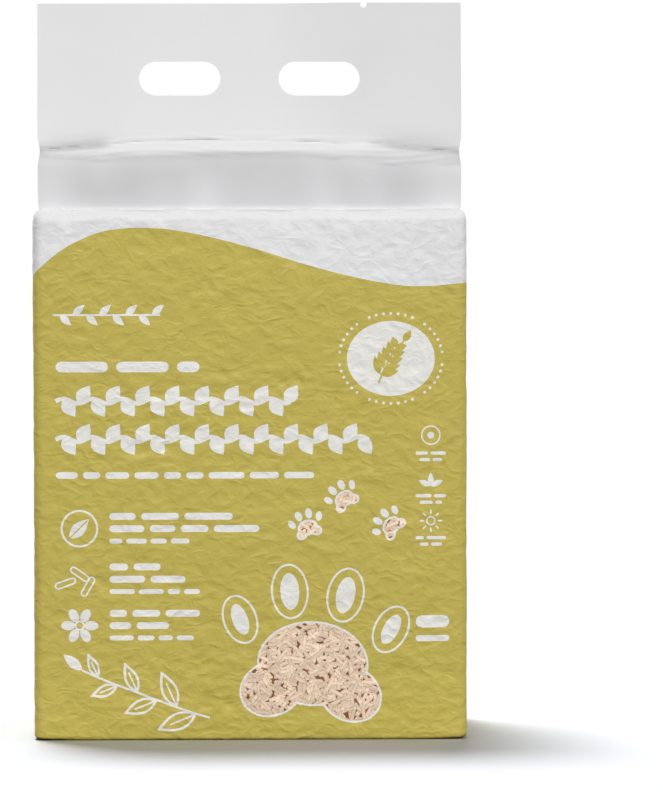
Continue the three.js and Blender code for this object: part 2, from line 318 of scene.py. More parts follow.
# %% [markdown]
# ## The printed pellets
#
# The front carries a picture of litter: peach rods lying across each other with dark gaps. Drawing hundreds
# of rods would cost more mesh than the whole bag, so this ink is drawn by its nodes. A Voronoi texture
# scatters cells, each cell's colour gives its rod an angle, and the distance from the rod's middle line
# shades it as round.
# %% Draw a layer of rods
def rod_layer(tree, cells_per_metre, shift, half_width, half_length):
    """Shade of a layer of rods, 1 on a rod's middle line and 0 at its edge, and below 0 beside it."""
    place = tree.nodes.new("ShaderNodeTexCoord")
    mapping = tree.nodes.new("ShaderNodeMapping")
    mapping.inputs["Location"].default_value = shift
    mapping.inputs["Rotation"].default_value = (math.pi / 2, 0, 0)
    mapping.inputs["Scale"].default_value = (cells_per_metre,) * 3
    cells = tree.nodes.new("ShaderNodeTexVoronoi")
    cells.voronoi_dimensions = "2D"
    cells.inputs["Scale"].default_value = 1
    tree.links.new(place.outputs["Object"], mapping.inputs["Vector"])
    tree.links.new(mapping.outputs["Vector"], cells.inputs["Vector"])
    offset = tree.nodes.new("ShaderNodeVectorMath")
    offset.operation = "SUBTRACT"
    tree.links.new(mapping.outputs["Vector"], offset.inputs[0])
    tree.links.new(cells.outputs["Position"], offset.inputs[1])
    parts = tree.nodes.new("ShaderNodeSeparateXYZ")
    tree.links.new(offset.outputs["Vector"], parts.inputs["Vector"])
    chance = tree.nodes.new("ShaderNodeSeparateColor")
    tree.links.new(cells.outputs["Color"], chance.inputs["Color"])
    angle = math_node(tree, "MULTIPLY", chance.outputs["Red"], math.pi)
    cosine, sine = math_node(tree, "COSINE", angle), math_node(tree, "SINE", angle)
    x, y = parts.outputs["X"], parts.outputs["Y"]

    def times(first, second):
        return math_node(tree, "MULTIPLY", first, second)

    along = math_node(tree, "ADD", times(x, cosine), times(y, sine))
    off = math_node(tree, "SUBTRACT", times(y, cosine), times(x, sine))
    side = math_node(tree, "DIVIDE", math_node(tree, "ABSOLUTE", off), half_width)
    beyond = math_node(tree, "SUBTRACT", math_node(tree, "ABSOLUTE", along), half_length)
    end = math_node(tree, "MAXIMUM", math_node(tree, "DIVIDE", beyond, half_width), 0)
    distance = math_node(tree, "ADD", math_node(tree, "POWER", side, 2), math_node(tree, "POWER", end, 2))
    return math_node(tree, "SUBTRACT", 1, distance), chance.outputs["Green"]


print("a layer has one rod to a cell")

# %% [markdown]
# One layer leaves wide gaps. So four layers lie over each other, as a heap does, with the longest rods on
# top and the dark gap colour under all of them. Each rod runs from a light middle to a darker edge, by a
# colour ramp.
# %% Mix the pellet print
pellet_tones = {
    "light": (242, 218, 193), "body": (224, 196, 166), "edge": (182, 138, 106), "gap": (134, 84, 52),
}
rod_layers = (  # cells in a metre, shift of the cells, and a rod's half width and length as shares of a cell
    (330, (0.4, 0.1, 0), 0.36, 0.5), (250, (7.3, 3.9, 0), 0.25, 0.5),
    (200, (2.7, 8.2, 0), 0.19, 0.52), (170, (5.1, 1.6, 0), 0.155, 0.5),
)


def shade_rods(tree, layer, below):
    """Lays a layer of rods over a colour, or over another layer."""
    roundness, chance = layer
    ramp = tree.nodes.new("ShaderNodeValToRGB")
    stops = ramp.color_ramp.elements
    stops[0].position, stops[0].color = 0.0, linear(*pellet_tones["edge"])
    stops[1].position, stops[1].color = 0.75, linear(*pellet_tones["light"])
    middle = stops.new(0.3)
    middle.color = linear(*pellet_tones["body"])
    tree.links.new(roundness, ramp.inputs["Fac"])
    tone = tree.nodes.new("ShaderNodeHueSaturation")
    tree.links.new(add_map(tree, chance, 0.88, 1.06), tone.inputs["Value"])
    tree.links.new(ramp.outputs["Color"], tone.inputs["Color"])
    cover = tree.nodes.new("ShaderNodeMix")
    cover.data_type = "RGBA"
    tree.links.new(math_node(tree, "GREATER_THAN", roundness, 0.0), cover.inputs["Factor"])
    if isinstance(below, tuple):
        cover.inputs["A"].default_value = below
    else:
        tree.links.new(below, cover.inputs["A"])
    tree.links.new(tone.outputs["Color"], cover.inputs["B"])
    return cover.outputs["Result"]


def mix_pellet_print():
    material = bpy.data.materials.new("ink_pellets")
    shader = satin_surface(material)
    tree = material.node_tree
    heap = linear(*pellet_tones["gap"])
    for layer in rod_layers:
        heap = shade_rods(tree, rod_layer(tree, *layer), heap)
    tree.links.new(heap, shader.inputs["Base Color"])
    return material


inks["ink_pellets"] = mix_pellet_print()
ink_order = list(inks)
print(f"mixed the pellet print from {len(rod_layers)} layers")

# %% [markdown]
# ## The bag's measures
#
# A box could be bevelled and pushed into this shape. But a bag is one flat film, and print, seams and folds
# lie where the flat film puts them. So it is worked out flat first, like the net of a paper box. A place on
# a panel has two coordinates in millimetres of film: across, from the panel's middle, and up, from the foot
# of the wall. Four panels go round the brick. The front and back panels go on over the litter, up the neck
# and to the top of the header.
# %% Measure the panels
brick_height = 258
edge_radius = 5
base_radius = 1.2
shoulder_radius = 6
front_swell = 2
side_swell = 0.5
roof_rise = 1
neck_height = 29
film_half = 0.45  # half the thickness of the pressed header
fillet_film = 4  # how much of the roof's depth the fillet at the neck's foot takes

half_width, half_depth = pack_width / 2, pack_depth / 2
wall_half_width, wall_half_depth = half_width - side_swell, half_depth - front_swell
flat_x, flat_y = wall_half_width - edge_radius, wall_half_depth - edge_radius
quarter_corner = edge_radius * math.pi / 4
panel_x, panel_y = flat_x + quarter_corner, flat_y + quarter_corner  # half widths of the panels' film
perimeter = 4 * (panel_x + panel_y)

base_turn = base_radius * math.pi / 2
wall_straight = brick_height - base_radius - shoulder_radius
shoulder_turn = shoulder_radius * math.pi / 2
wall_film = base_turn + wall_straight + shoulder_turn

ridge_height = brick_height + roof_rise
crease_height = ridge_height + neck_height
top_height = 361.7
roof_depth = wall_half_depth - shoulder_radius
roof_run = math.hypot(roof_depth - film_half - fillet_film, roof_rise)
film_top = wall_film + roof_run + top_height - ridge_height
print(f"film {perimeter:.0f} mm round and {film_top:.0f} mm from foot to top")

# %% [markdown]
# A few small functions shape nearly everything below. A soft step goes from 0 to 1 without a corner, a bump
# is one smooth hill, and a ripple is an uneven wave. They all take whole rows of numbers at once, which is
# quick.
# %% Make the shaping functions
def film_height(z):
    """How far up the film a height on the wall lies."""
    return base_turn + z - base_radius


def soft_step(value, low, high):
    share = np.clip((value - low) / (high - low), 0, 1)
    return share * share * (3 - 2 * share)


def bump(distance, spread):
    return np.exp(-((distance / spread) ** 2))


def ripple(x, lengths, phases):
    """A smooth uneven wave from -1 to 1, as the mean of a few sines with these lengths and phases."""
    waves = [np.sin(2 * math.pi * x / length + phase) for length, phase in zip(lengths, phases)]
    return sum(waves) / len(waves)


print("half way up a soft step:", float(soft_step(0.5, 0, 1)))

# %% [markdown]
# ## The grain of the litter
#
# Under vacuum the film lies on the outermost pellets and bridges the hollows between them. A noise texture
# could displace the film, but noise has no rods in it. So the relief is made as on the real bag, on a
# height map of the whole film. First rods of random length, tilt and depth are dropped on it. A seeded
# random generator drops the same rods in each run, and the map wraps round the brick without a seam.
# %% Drop the pellets
grain_step = 0.5
map_columns = round(perimeter / grain_step)
map_rows = round((wall_film + roof_run) / grain_step)
rng = np.random.default_rng(11)


def drop_rods(area_each, ground=-2.0):
    """Rods at random on a ground, one to each area_each square millimetres."""
    heights = np.full((map_rows, map_columns), ground)
    for _ in range(round(map_rows * map_columns * grain_step**2 / area_each)):
        middle = rng.uniform((0, 0), (map_rows, map_columns))
        angle = rng.uniform(0, math.pi)
        half_length = rng.uniform(3, 8)
        radius = rng.uniform(1.3, 1.9)
        sunk, slope = rng.uniform(0.2, 1.5), rng.uniform(-0.14, 0.14)
        reach = math.ceil((half_length + radius) / grain_step)
        row = np.arange(max(0, int(middle[0]) - reach), min(map_rows, int(middle[0]) + reach + 1))
        column = np.arange(int(middle[1]) - reach, int(middle[1]) + reach + 1)
        up = ((row - middle[0]) * grain_step)[:, None]
        across = ((column - middle[1]) * grain_step)[None, :]
        along = across * math.cos(angle) + up * math.sin(angle)
        off = up * math.cos(angle) - across * math.sin(angle)
        gap = (along - np.clip(along, -half_length, half_length)) ** 2 + off**2
        round_top = np.sqrt(np.maximum(radius**2 - gap, 0))
        rod = np.where(gap < radius**2, round_top - sunk + slope * along, ground)
        window = np.ix_(row, column % map_columns)
        heights[window] = np.maximum(heights[window], rod)
    return heights


print(f"height map of {map_rows} x {map_columns} places, {grain_step} mm apart")

# %% [markdown]
# Cloth could be drawn over the rods to see where it bridges them. Closing the map with a small disc does
# the same at once: each place takes the highest neighbour, and then the lowest of those. A blur afterwards
# stands for the film's stiffness. It is done on the map's Fourier transform, because a wide blur takes no
# longer there than a narrow one.
# %% Filter a height map
def spread_extreme(heights, reach, pick):
    """The highest or lowest neighbour within reach of each place."""
    steps = range(-reach, reach + 1)
    disc = [(i, j) for i in steps for j in steps if 0 < i * i + j * j <= reach * reach + 1]
    padded = np.pad(heights, ((reach, reach), (0, 0)), mode="edge")
    spread = heights.copy()
    for i, j in disc:
        moved = np.roll(padded, j, axis=1)[reach + i : reach + i + len(heights)]
        spread = pick(spread, moved)
    return spread


def blur(heights, radius):
    """Blurs by radius millimetres. The map wraps round sideways, and is mirrored at its top and foot."""
    doubled = np.concatenate((heights, heights[::-1]))
    rows = np.fft.fftfreq(len(doubled))[:, None]
    columns = np.fft.rfftfreq(doubled.shape[1])[None, :]
    keep = np.exp(-2 * (math.pi * radius / grain_step) ** 2 * (rows**2 + columns**2))
    return np.fft.irfft2(np.fft.rfft2(doubled) * keep, doubled.shape)[: len(heights)]


def evened(heights, size):
    """Without what is wider than size, and with a typical height of 1."""
    heights = heights - blur(heights, size)
    return heights / heights.std()


print("filters: spread, blur and even out")

# %% [markdown]
# Three reliefs add up. The bridged pellets alone look too regular, so the film also puckers into fine folds
# with sharp edges, and the brick's faces are slowly uneven, as hands and shelves leave them.
# %% Press the litter into the film
pellet_depth, pucker_depth, slow_depth = 0.08, 0.12, 0.12  # typical heights of the three reliefs
slow_size = 14
widest = 60  # what is wider than this is taken out of puckers and slow unevenness
pucker_sizes = ((1.2, 0.5), (2.2, 0.8), (4.5, 1.0))  # each with its share


def pressed_litter():
    """The rods as seen through the film that bridges them."""
    rods = drop_rods(area_each=14)
    bridged = spread_extreme(spread_extreme(rods, 3, np.maximum), 3, np.minimum)
    return evened(blur(bridged, radius=0.7), size=9)


def puckers():
    """Fine sharp-edged folds: where a soft random surface crosses zero it is folded up."""
    folds = 0
    for size, share in pucker_sizes:
        lumps = evened(blur(rng.normal(size=(map_rows, map_columns)), size), widest)
        folds = folds - share * np.abs(lumps)
    return evened(blur(folds, radius=0.55), size=9)


def grain_at(round_film, up):
    """The relief at a place round the brick and up the film, between the map's samples."""
    column = np.mod(round_film, perimeter) / perimeter * map_columns
    row = np.clip(up / grain_step, 0, map_rows - 1.001)
    i, j = row.astype(int), column.astype(int)
    down, over = row - i, column - j
    left, right = j % map_columns, (j + 1) % map_columns
    low = grain_map[i, left] * (1 - over) + grain_map[i, right] * over
    high = grain_map[i + 1, left] * (1 - over) + grain_map[i + 1, right] * over
    return low * (1 - down) + high * down


grain_map = pellet_depth * pressed_litter() + pucker_depth * puckers()
grain_map += slow_depth * evened(blur(rng.normal(size=grain_map.shape), slow_size), widest)
print(f"grain {grain_map.min():.2f} to {grain_map.max():.2f} mm on a map of {map_rows} x {map_columns}")

# %% [markdown]
# ## The walls
#
# Four panels meet at the middle of the brick's rounded edges. Up the wall, a panel turns in at the foot and
# at the shoulder, and swells in between. The back carries the welded seam as a strip that stands out, with
# a dent on either side. The base's corners are lifted, because the film is folded thick under them.
# %% Shape the walls' profile
across_way = {"front": (1, 0), "right": (0, 1), "back": (-1, 0), "left": (0, -1)}
outward = {"front": (0, -1), "right": (1, 0), "back": (0, 1), "left": (-1, 0)}
panel_start = {panel: k * (panel_x + panel_y) for k, panel in enumerate(across_way)}
broad_panels = ("front", "back")
seam_width = 10
seam_height = 0.35
seam_edge = 0.3  # the seam's edge rises over this width
seam_dent = 0.8
seam_dent_width = 5
corner_lift = 0.8
flat_base_width = 140


def wall_profile(up):
    """Inset at the foot and at the shoulder, height, tilt of the normal, swell and share of the way up."""
    foot = np.clip(up / base_turn, 0, 1) * math.pi / 2
    head = np.clip((up - base_turn - wall_straight) / shoulder_turn, 0, 1) * math.pi / 2
    share = np.clip((up - base_turn) / wall_straight, 0, 1)
    foot_inset, head_inset = base_radius * (1 - np.sin(foot)), shoulder_radius * (1 - np.cos(head))
    z = base_radius * (1 - np.cos(foot)) + wall_straight * share + shoulder_radius * np.sin(head)
    return foot_inset, head_inset, z, head + foot - math.pi / 2, 1 - (2 * share - 1) ** 4, share


def seam_shape(x):
    """How far the folded back seam stands out, with the dent on either side of it."""
    beside = np.maximum(np.abs(x - seam_width / 2) - seam_width / 2, 0)
    strip = seam_height * (1 - soft_step(beside, 0, seam_edge))
    return strip - seam_dent * np.clip(1 - np.abs(beside - 0.6) / seam_dent_width, 0, 1) * (beside > 0)


def lift_at(x):
    """How far the base stands off the floor towards its folded corners."""
    beyond = np.clip((np.abs(x) - flat_base_width / 2) / (half_width - flat_base_width / 2), 0, None)
    return corner_lift * beyond**2


print(f"walls straight for {wall_straight:.0f} mm between foot and shoulder")

# %% [markdown]
# Modifiers could bend the panels, but a formula says where each point of the film goes. Each panel looks
# along its own outward direction, so one function serves all four. It bends the flat film round the corner,
# folds the crease down a gusset, and lays the grain along the normal. The grain dies away at the shoulder's
# corners and at a gusset's top edge, which dips a little too, so that the roof's flap always lies over it.
# %% Bend a wall
least_radius = 1
shoulder_slope = 0.45  # how much the brick's narrow sides turn in at the shoulder, against the broad ones
gusset_fold = 1.6
gusset_fold_reach = 3
shoulder_ripple = 0.6
shoulder_waves = (perimeter / 31, perimeter / 19, perimeter / 12), (0, 2, 4)  # whole waves round the brick
gusset_dip = 0.3


def wall_points(panel, across, up):
    """Where places on a panel's flat film come to lie on the brick."""
    broad = panel in broad_panels
    flat, reach = (flat_x, wall_half_depth) if broad else (flat_y, wall_half_width)
    foot_inset, head_inset, z, tilt, swell, share = wall_profile(up)
    radius = np.maximum(least_radius, edge_radius - foot_inset - head_inset)
    corner = np.clip((np.abs(across) - flat) / edge_radius, 0, math.pi / 4)
    inner = np.clip(across / flat, -1, 1)
    inset_along = foot_inset + head_inset * (shoulder_slope if broad else 1)
    inset_out = foot_inset + head_inset * (1 if broad else 1 - (1 - shoulder_slope) * inner**4)
    along = inner * (flat + edge_radius - inset_along - radius) + np.sign(across) * radius * np.sin(corner)
    out = reach - inset_out - radius + radius * np.cos(corner)
    if broad:
        out = out + swell * front_swell * (1 - inner**2)
    else:
        fold = gusset_fold * bump(across, gusset_fold_reach)
        out = out + swell * (side_swell * (1 - inner**2) - fold)
    if panel == "back":
        out = out + swell * seam_shape(-along) * (corner == 0)

    way, face = np.array(across_way[panel]), np.array(outward[panel])
    flat_place = along[:, None] * way + out[:, None] * face
    z = z + (1 - share) ** 4 * lift_at(flat_place[:, 0])
    place, rising = panel_start[panel] + across, np.maximum(tilt, 0)
    # the grain begins above the foot and is weaker round the corners, and the shoulder adds its ripple
    grain = grain_at(place, up) * soft_step(up, 0, 7)
    grain *= 1 - 0.6 * soft_step(np.abs(across), flat - 4, flat + 2)
    grain += shoulder_ripple * ripple(place, *shoulder_waves) * rising
    at_corner = soft_step(np.abs(across), flat - 6, flat + quarter_corner)
    settled = soft_step(rising, 0, 1.3) * (at_corner if broad else 1)
    grain = grain * (1 - settled) - (0 if broad else gusset_dip) * (1 - at_corner) * settled
    facing = np.sign(across)[:, None] * np.sin(corner)[:, None] * way + np.cos(corner)[:, None] * face
    flat_place = flat_place + (grain * np.cos(tilt))[:, None] * facing
    return np.column_stack((flat_place, z + grain * np.sin(tilt)))


shoulder_corner = wall_points("front", np.array([panel_x]), np.array([wall_film]))[0]
print("the right front corner of the shoulder:", shoulder_corner.round(1), "mm")

# %% [markdown]
# ## The crease
#
# Above the brick the film is empty. Where it was pressed flat it broke into a crease: a small ledge whose
# crest stands forward, with a sharp fold above it. It could be sculpted by hand. But a line through a few
# heights can be set right one height at a time, so both ledge and fold are such lines, smoothed. The ledge
# is pushed out of the flat film, and the fold is pushed in.
# %% Shape the crease
crest_stops = (
    (-104, 285.6), (-71, 285.1), (-47, 284.6), (-12, 287.6),
    (25, 287.4), (46, 286.1), (70, 283.1), (104, 281.6),
)  # each a place across the bag and a height
fold_stops = (
    (-104, 288.6), (-71, 291.6), (-47, 292.6), (-21, 293.4), (21, 293),
    (46, 291.6), (62, 292.1), (80, 289.6), (104, 287.6),
)
dent_places = ((41, 285), (71, 281.9), (-74, 284))
ledge_depth = 1.6
ledge_waves = (97, 41), (1.1, 3.2)  # lengths in millimetres, and phases
groove_waves = (66, 31), (4.4, 1)
wrinkle_waves = (150, 83), (0.3, 2)
left_hollow, right_hollow = 1.5, 2.2  # how far the film is pushed in above the ledge's two ends


def through(x, stops):
    """Heights along a line through stops, without its corners."""
    places, heights = zip(*stops)
    return sum(np.interp(x + shift, places, heights) for shift in (-9, -6, -3, 0, 3, 6, 9)) / 7


def crease_ledge(x, z):
    """How far forward the film stands at the crease: out to the crest, back above it, and in at the fold."""
    crest, fold = through(x, crest_stops), through(x, fold_stops)
    proud = ledge_depth * (1 + 0.4 * ripple(x, *ledge_waves))
    ledge = np.clip((z - ridge_height) / (crest - ridge_height), 0, 1) * (1 - soft_step(z, crest + 0.3, fold))
    groove = np.clip(0.65 + 0.7 * ripple(x, *groove_waves), 0.15, 1) * bump(z - fold, 0.6)
    ends = left_hollow * bump(x + 96, 26) + right_hollow * bump(x - 92, 26)
    recess = ends * np.where(z > fold, bump(z - fold, 5.5), bump(z - fold, 1.2))
    wrinkles = 0.2 * np.sin(2.2 * z + 6 * ripple(x, *wrinkle_waves))
    wrinkles *= bump(z - (crest + fold) / 2 - 1, 4.5)
    dents = 0.5 * sum(bump(x - at, 5) * bump(z - height, 0.7) for at, height in dent_places)
    return proud * ledge - groove - recess + wrinkles + dents


print(f"crease at {crease_height} mm, header from there to {top_height:.1f} mm")

# %% [markdown]
# ## The neck and the header
#
# Over the litter the two panels run to the middle as a very low gable, turn up through a small fillet, and
# stand as an empty neck. The neck leans forward up to the crease, which pinches it at both ends, and the
# header leans back from there. Two sheets with a thickness could stand for it, but it has to grow out of
# the roof without a joint, so the same two panels go on. The closed film is a middle plane with half a
# thickness to each side, and each wrinkle is a small hill or valley in one of the two.
# %% Close the film
neck_fillet = 0.5
fillet_waves = (37, 23, 13), (0.5, 2.1, 4)
belly_waves = (107, 52, 31, 21), (0, 1.3, 2.9, 5)
lean_waves = (120, 66), (2.4, 0.6)
neck_lean = 6
crease_pinch = 1.2
header_half_width = 105.3
header_sway = 1.6
flap_inset = 0.5


def closed_half(x, z):
    """Half the thickness of the closed film."""
    edge = 1 - np.abs(x / half_width) ** 6
    share = np.clip((z - ridge_height) / neck_height, 0, 1)
    fillet_height = neck_fillet * (1 + 0.4 * ripple(x, *fillet_waves))
    fillet = fillet_height * np.clip(1 - (z - ridge_height) / (1.6 * fillet_height), 0, 1) ** 3
    belly = np.sin(math.pi * share) * (0.5 + 0.9 * ripple(x, *belly_waves))
    return film_half + (fillet + belly + 0.6 * bump(z - crease_height, 3)) * edge


def middle_plane(x, z):
    """How far back the closed film's middle stands."""
    neck = np.clip((z - ridge_height) / neck_height, 0, 1)
    head = np.clip((z - crease_height) / (top_height - crease_height), 0, 1)
    lean = -neck_lean * neck * (1 - head) * (1 + 0.3 * ripple(x, *lean_waves))
    sway = header_sway * (0.3 * neck + 0.7 * head) * np.sin(math.pi * x / pack_width - 0.6)
    return lean + sway - crease_ledge(x, z) * (1 - (x / half_width) ** 8)


def closing_points(panel, across, up):
    """Places on the front or back film above the shoulder."""
    face = outward[panel][1]
    run = up - wall_film
    foot = wall_points(panel, across, np.full_like(across, wall_film))
    share = np.clip(run / roof_run, 0, 1)
    # the place in the closed film, or for the roof the place at its ridge
    z = ridge_height + np.maximum(run - roof_run, 0)
    pinch = crease_pinch * bump(z - crease_height, 5)
    reach = header_half_width - flap_inset * (1 - soft_step(z, ridge_height, ridge_height + 3))
    x = across_way[panel][0] * across / panel_x * (reach - pinch)
    half = closed_half(x, z)
    if panel == "back":
        half += seam_height * (np.abs(x - seam_width / 2) < seam_width / 2)
    y = middle_plane(x, z) + face * half
    z = np.where(z >= top_height - 1e-6, top_height + 0.6 * soft_step(x, 0, 60) - 0.3, z)
    closed = np.column_stack((x, y, z))

    # the roof runs from the shoulder to that ridge, with a grain that fades towards its edges
    blend = soft_step(share, 0, 1)
    grain = grain_at(panel_start[panel] + across, up) * soft_step(share, 0, 0.1)
    grain *= (1 - soft_step(share, 0.75, 1)) * (1 - soft_step(np.abs(across), panel_x - 8, panel_x))
    roof_x = foot[:, 0] + (closed[:, 0] - foot[:, 0]) * blend
    roof_y = foot[:, 1] + (closed[:, 1] - foot[:, 1]) * share
    roof_z = foot[:, 2] + (ridge_height - foot[:, 2]) * share + grain
    return np.where((run < roof_run)[:, None], np.column_stack((roof_x, roof_y, roof_z)), closed)


def panel_points(panel, across, up):
    """Where places on a panel's flat film come to lie on the bag."""
    on_wall = up <= wall_film
    places = np.empty((len(across), 3))
    places[on_wall] = wall_points(panel, across[on_wall], up[on_wall])
    if not on_wall.all():
        places[~on_wall] = closing_points(panel, across[~on_wall], up[~on_wall])
    return places


top_edge = panel_points("front", np.linspace(-panel_x, panel_x, 9), np.full(9, film_top))
print(f"the header's top edge sways {np.ptp(top_edge[:, 1]):.1f} mm from front to back")

# %% [markdown]
# ## The wave
#
# The olive ground ends in a wave that runs round the bag. A curve object could draw it, but a formula also
# tells each panel how high it is at any place. It is a smooth line through a few heights: between two of
# them it is a cubic that keeps the slope of its neighbours, and the last joins the first on the left side.
# %% Draw the wave
wave_stops = np.array([  # each a place round the brick, from the front's middle, and a height
    (-105.7, 226.7), (-96.4, 234.7), (-90.8, 238.9), (-82.7, 243.3), (-74.7, 246.6), (-62.6, 248.9),
    (-50.6, 249.3), (-37.7, 248.3), (-25, 246), (0, 239.8), (29, 230.8), (55, 224.3),
    (78, 220.8), (103, 222.3), (155, 231), (207, 243), (262, 247), (318, 238),
    (372, 222), (425, 207), (460, 203), (485, 206),
])


def wave_height(round_film):
    """The height of the olive ground's edge at a place round the brick."""
    stops, heights = wave_stops.T
    stops = np.append(stops, stops[0] + perimeter)
    heights = np.append(heights, heights[0])
    gaps = np.diff(stops)
    rises = np.diff(heights) / gaps
    before, rises_before = np.roll(gaps, 1), np.roll(rises, 1)
    slopes = (rises_before * gaps + rises * before) / (gaps + before)
    slopes = np.append(slopes, slopes[0])
    place = np.mod(round_film - stops[0], perimeter) + stops[0]
    k = np.clip(np.searchsorted(stops, place, side="right") - 1, 0, len(gaps) - 1)
    share = (place - stops[k]) / gaps[k]
    flat = heights[k] * (1 + 2 * share) * (1 - share) ** 2 + heights[k + 1] * share**2 * (3 - 2 * share)
    lean = gaps[k] * (slopes[k] * share * (1 - share) ** 2 - slopes[k + 1] * share**2 * (1 - share))
    return flat + lean


print(f"wave from {wave_stops[:, 1].min()} to {wave_stops[:, 1].max()} mm high")

# %% [markdown]
# ## Printed shapes
#
# Plain white motifs stand on the olive ground. Laid on as separate shapes they would float over the grain,
# so they are cut into the film later. Each is an outline in millimetres on the front, from the middle and
# from the floor, with the ink that fills it. A later outline covers an earlier one, so a ring is a white
# disc with an olive disc on it. These are the simple ones: ovals, rules with round ends, leaves, strokes
# and rings.
# %% Draw simple shapes
drawn = []  # (outline, ink) in the order of printing


def ink(outline, name="ink_white"):
    drawn.append((np.asarray(outline, float), name))


def turned(outline, angle, x, z):
    """An outline turned by an angle in degrees and moved to a place."""
    cosine, sine = math.cos(math.radians(angle)), math.sin(math.radians(angle))
    return np.asarray(outline) @ np.array(((cosine, sine), (-sine, cosine))) + (x, z)


def oval(x, z, radius_x, radius_z, angle=0, corners=24):
    turn = np.linspace(0, 2 * math.pi, corners, endpoint=False)
    return turned(np.column_stack((radius_x * np.cos(turn), radius_z * np.sin(turn))), angle, x, z)


def bar(left, right, z, height):
    """A rule with round ends."""
    radius = height / 2
    turn = np.linspace(-math.pi / 2, math.pi / 2, 6)
    cap = np.column_stack((radius * np.cos(turn), radius * np.sin(turn)))
    return np.concatenate((cap + (right - radius, z), -cap + (left + radius, z)))


def leaf(x, z, length, width, angle):
    """A pointed leaf that grows from its root at a place, along an angle from +x."""
    share = np.linspace(0, 1, 9)
    half = width / 2 * np.sin(math.pi * share**0.85)
    upper = np.column_stack((share * length, half))
    lower = np.column_stack((share * length, -half))[-2:0:-1]
    return turned(np.concatenate((upper, lower)), angle, x, z)


def stroke(line, width):
    """A line of this width along points."""
    line = np.asarray(line, float)
    way = np.gradient(line, axis=0)
    way /= np.linalg.norm(way, axis=1)[:, None]
    side = np.column_stack((-way[:, 1], way[:, 0])) * width / 2
    return np.concatenate((line + side, (line - side)[::-1]))


def ring(x, z, radius_x, radius_z, line, ground="ink_olive"):
    """A white oval with an oval of the ground's ink on it, which leaves a line this wide."""
    ink(oval(x, z, radius_x, radius_z))
    ink(oval(x, z, radius_x - line, radius_z - line), ground)


print("shapes: oval, bar, leaf, stroke and ring")

# %% [markdown]
# Sprigs and paw prints are made of those. A sprig has leaves on both sides of its stem by turns. A paw
# print is three ovals that run together as a pad, and four toes. A pad filled with another ink is drawn
# twice, the second time a line's width smaller, which leaves a white line round it.
# %% Draw sprigs and paw prints
def sprig(left, right, z, leaf_length, leaf_width, pitch, angle, swing, line):
    """A stem with leaves on both sides by turns."""
    x = np.arange(left, right + 1, 2.0)
    stem = z + swing * np.sin((x - left) * math.pi / pitch)
    ink(stroke(np.column_stack((x, stem)), line))
    for k, root in enumerate(np.arange(left + pitch / 2, right, pitch)):
        side = 1 if k % 2 else -1
        height = z + swing * math.sin((root - left) * math.pi / pitch)
        ink(leaf(root, height, leaf_length, leaf_width, side * angle))


def paw(x, z, size, angle=0, ground=None):
    """A paw print: one pad and four toes. With a ground, the pad is a line round that ink.

    An oval has its place, its half width and half height as shares of the size, and its turn."""
    lobes = [(0, 0.04, 0.34, 0.26, 0), (-0.24, -0.13, 0.2, 0.17, 25), (0.24, -0.13, 0.2, 0.17, -25)]
    toes = [(-0.46, 0.28, 0.105, 0.155, 24), (-0.17, 0.47, 0.115, 0.17, 8)]
    toes += [(-a, b, c, d, -turn) for a, b, c, d, turn in toes]

    def place(lobe, grow):
        a, b, c, d, turn = lobe
        (centre,) = turned([(a * size, b * size)], angle, x, z)
        return oval(*centre, c * size + grow, d * size + grow, angle + turn, 32 if size > 30 else 12)

    line = 1.0
    for lobe in lobes:
        ink(place(lobe, 0))
    for lobe in lobes if ground else ():
        ink(place(lobe, -line), ground)
    for toe in toes:
        ink(place(toe, 0))
        if size > 30:
            ink(place(toe, -line), "ink_olive")
            ink(place(toe, -4.6))


print("motifs: sprig and paw print")

# %% [markdown]
# ## The layout
#
# The print sits where the eye expects it on such a pack. At the top left stands a sprig, and under it two
# broad rows of leaves between rows of rules make the heading. An oval badge stands on the right.
# %% Lay out the heading and the badge
margin = -94.5
word_rng = np.random.default_rng(5)


def words(left, right, z, height):
    """A row of rules as long as words."""
    gap = 0.75 * height
    while left < right:
        length = height * word_rng.uniform(2.5, 5.5)
        end = left + length if left + length + gap + 2 * height < right else right
        ink(bar(left, end, z, height))
        left = end + gap


def draw_heading():
    sprig(-95.5, -44, 207, leaf_length=7.5, leaf_width=3.4, pitch=6.4, angle=42, swing=0, line=0.9)
    words(margin, -24.5, 181.8, 5.2)
    for right, z in ((19.3, 165.2), (58.2, 146.6)):
        sprig(margin, right, z, leaf_length=10.5, leaf_width=7, pitch=7.2, angle=56, swing=1.2, line=2.2)
    words(margin, 31, 129.1, 3.2)


def draw_badge(x=68.4, z=185.7):
    ink(oval(x, z, 21.4, 18.2, corners=56))
    stem = [(x - 6 + 12 * s, z - 12 + 20 * s + 3 * math.sin(math.pi * s)) for s in np.linspace(0, 1, 9)]
    ink(stroke(stem, 0.9), "ink_olive")
    for k, share in enumerate((0.15, 0.3, 0.47, 0.64, 0.8)):
        root = np.array(stem[0]) + (np.array(stem[-1]) - stem[0]) * share + (-1.2, 1.2)
        for side in (1, -1):
            ink(leaf(*root, 9.5 - k, 3.8, 58 + side * 48), "ink_olive")
    ink(leaf(*stem[-1], 7, 3.6, 55), "ink_olive")
    for turn in np.linspace(0, 2 * math.pi, 44, endpoint=False):
        if math.sin(3 * turn) ** 2 > 0.04:
            ink(oval(x + 25.2 * math.cos(turn), z + 21.9 * math.sin(turn), 0.75, 0.75, corners=8))


print("heading from", margin, "mm, on the left")

